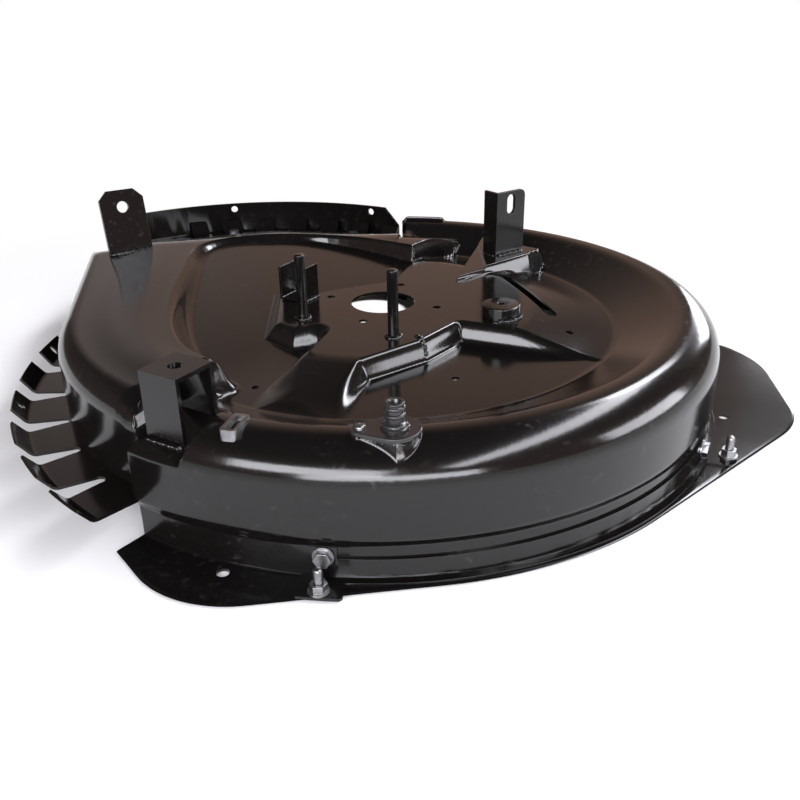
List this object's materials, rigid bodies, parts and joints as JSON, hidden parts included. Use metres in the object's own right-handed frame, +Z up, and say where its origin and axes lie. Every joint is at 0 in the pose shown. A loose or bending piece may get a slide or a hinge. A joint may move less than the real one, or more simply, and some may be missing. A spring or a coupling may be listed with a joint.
{
  "type": "lawn mower deck",
  "caption": "Pressed steel cutting deck for a ride-on lawn mower: round blade pan with a raised discharge hood, finger combs, rim wings, welded hangers, belt guides and a hose port.",
  "frame": {"origin": "centre of the spindle hole on the upper face of the spindle seat", "axes": "+Z up along the blade spindle; -Y towards the side with the hose port; +X towards the larger rim wing"},
  "size_m": [0.8614, 0.8722, 0.2014],
  "materials": {
    "deck_paint": "gloss",
    "zinc_steel": "satin",
    "port_plastic": "satin"
  },
  "bodies": {
    "root": {"deck_shell": "deck_paint", "rim_stiffener": "deck_paint", "discharge_guard": "deck_paint", "hanger_tab": "deck_paint", "slotted_angle": "deck_paint", "box_bracket": "deck_paint", "right_belt_pin": "deck_paint", "left_belt_pin": "deck_paint", "belt_keeper": "deck_paint", "idler_boss": "deck_paint", "spring_lug": "zinc_steel", "skirt_bolts": "zinc_steel", "skirt_nuts": "zinc_steel", "wing_studs": "zinc_steel", "wing_stud_nuts": "zinc_steel", "guard_bolts": "zinc_steel", "guard_nuts": "zinc_steel", "hose_port": "port_plastic", "hose_port_screw": "zinc_steel"}
  },
  "joints": []
}
